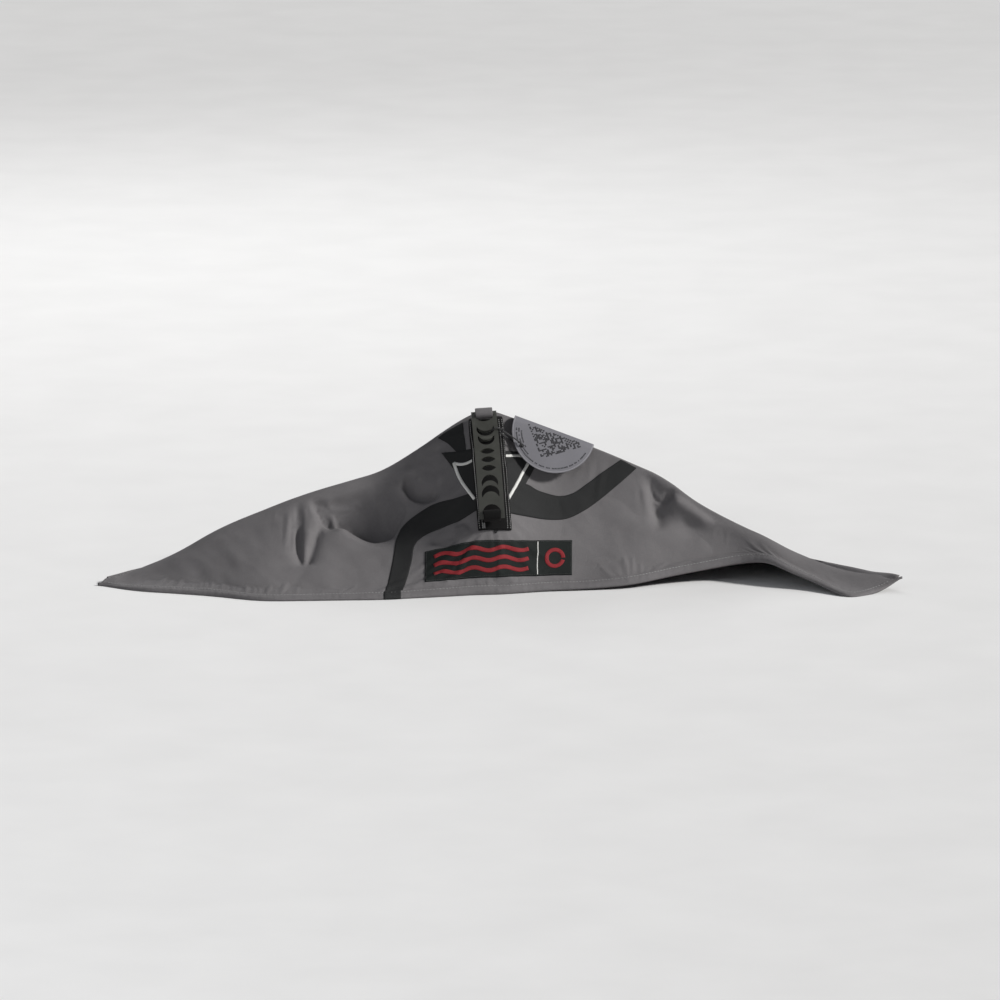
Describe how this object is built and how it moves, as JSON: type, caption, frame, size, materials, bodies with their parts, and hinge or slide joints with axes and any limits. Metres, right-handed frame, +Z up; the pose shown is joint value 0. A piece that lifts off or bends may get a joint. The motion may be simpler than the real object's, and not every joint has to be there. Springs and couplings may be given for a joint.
{
  "type": "kayak spray skirt",
  "caption": "Peaked fabric deck with a moulded grab handle, swing tag, elastic rim cord with cord lock and a slumped waist tunnel.",
  "frame": {"origin": "on the ground under the middle of the front hem, at the hem's flat underside", "axes": "+X to the right along the front hem, +Y from the front hem towards the waist tunnel, +Z up"},
  "size_m": [0.8932, 0.5994, 0.1939],
  "materials": {
    "deck_fabric": "coated woven nylon, satin",
    "hem_fabric": "coated woven nylon, folded and stitched",
    "trim_dark": "dark coated nylon panel",
    "trim_pale": "pale welded film",
    "badge_fabric": "dense dark twill",
    "badge_red": "red ink, matt",
    "webbing": "polyester webbing",
    "grip_plastic": "moulded soft plastic, fine grain",
    "tag_card": "coated card",
    "tag_ink": "printed ink",
    "cord": "braided sleeve over elastic",
    "black_plastic": "moulded plastic",
    "spring_steel": "drawn wire",
    "stay_alloy": "drawn tube",
    "eyelet_brass": "blackened brass",
    "seam_tape": "welded seam tape"
  },
  "bodies": {
    "deck": {"front_panel": "deck_fabric", "rear_deck": "deck_fabric", "front_hem": "hem_fabric", "rear_hem": "hem_fabric", "ridge_tape": "seam_tape", "shock_cord": "cord", "rim_cord_ends": "black_plastic", "deck_stay": "stay_alloy", "stay_caps": "black_plastic", "stay_pockets": "hem_fabric", "stay_loop": "webbing", "stay_straps": "webbing", "accent_band_left": "trim_dark", "accent_band_right": "trim_dark", "accent_band_upper": "trim_dark", "centre_panel": "trim_dark", "pale_outline": "trim_pale", "badge_base": "badge_fabric", "badge_motif": "badge_red", "badge_divider": "trim_pale", "handle_base": "webbing", "handle_loop_lower": "webbing", "handle_loop_upper": "deck_fabric", "tunnel_seam": "seam_tape", "tunnel_wall": "deck_fabric"},
    "grip": {"handle_grip": "grip_plastic"},
    "tag_string": {"tag_cord": "cord"},
    "tag": {"swing_tag": "tag_card", "tag_print": "tag_ink"},
    "rim_lock": {"rim_lock_barrel": "black_plastic", "rim_lock_spring": "spring_steel"},
    "rim_button": {"rim_lock_button": "black_plastic"},
    "tunnel_top": {"tunnel_hem": "hem_fabric", "tunnel_drawcord": "cord", "tunnel_eyelets": "eyelet_brass", "tunnel_cord_ends": "black_plastic"},
    "tunnel_lock": {"tunnel_lock_barrel": "black_plastic", "tunnel_lock_spring": "spring_steel"},
    "tunnel_button": {"tunnel_lock_button": "black_plastic"}
  },
  "joints": [
    {"name": "handle_lift", "type": "slide", "parent": "deck", "child": "grip", "axis": [0, -0.8054, 0.5928], "range_m": [0, 0.004]},
    {"name": "tag_string_swing", "type": "hinge", "parent": "grip", "child": "tag_string", "pos_m": [0.00689, 0.07083, 0.17], "axis": [0.0726, -0.7739, -0.6291], "range_deg": [0, 70]},
    {"name": "tag_swing", "type": "hinge", "parent": "tag_string", "child": "tag", "pos_m": [0.03507, 0.08564, 0.1503], "axis": [0.0726, -0.7739, -0.6291], "range_deg": [0, 11]},
    {"name": "rim_lock_slide", "type": "slide", "parent": "deck", "child": "rim_lock", "axis": [0, 1, 0], "range_m": [-0.018, 0.015]},
    {"name": "rim_button_press", "type": "slide", "parent": "rim_lock", "child": "rim_button", "axis": [0, 0, -1], "range_m": [0, 0.003], "stiffness_N_per_m": 900, "springref_m": -0.004, "deforming": ["rim_lock_spring"]},
    {"name": "tunnel_raise", "type": "slide", "parent": "deck", "child": "tunnel_top", "axis": [0, 0, 1], "range_m": [0, 0.15], "deforming": ["tunnel_wall"]},
    {"name": "tunnel_lock_slide", "type": "slide", "parent": "tunnel_top", "child": "tunnel_lock", "axis": [0, 0.9135, -0.4067], "range_m": [-0.015, 0.018]},
    {"name": "tunnel_button_press", "type": "slide", "parent": "tunnel_lock", "child": "tunnel_button", "axis": [0, -0.4067, -0.9135], "range_m": [0, 0.003], "stiffness_N_per_m": 900, "springref_m": -0.004, "deforming": ["tunnel_lock_spring"]}
  ]
}
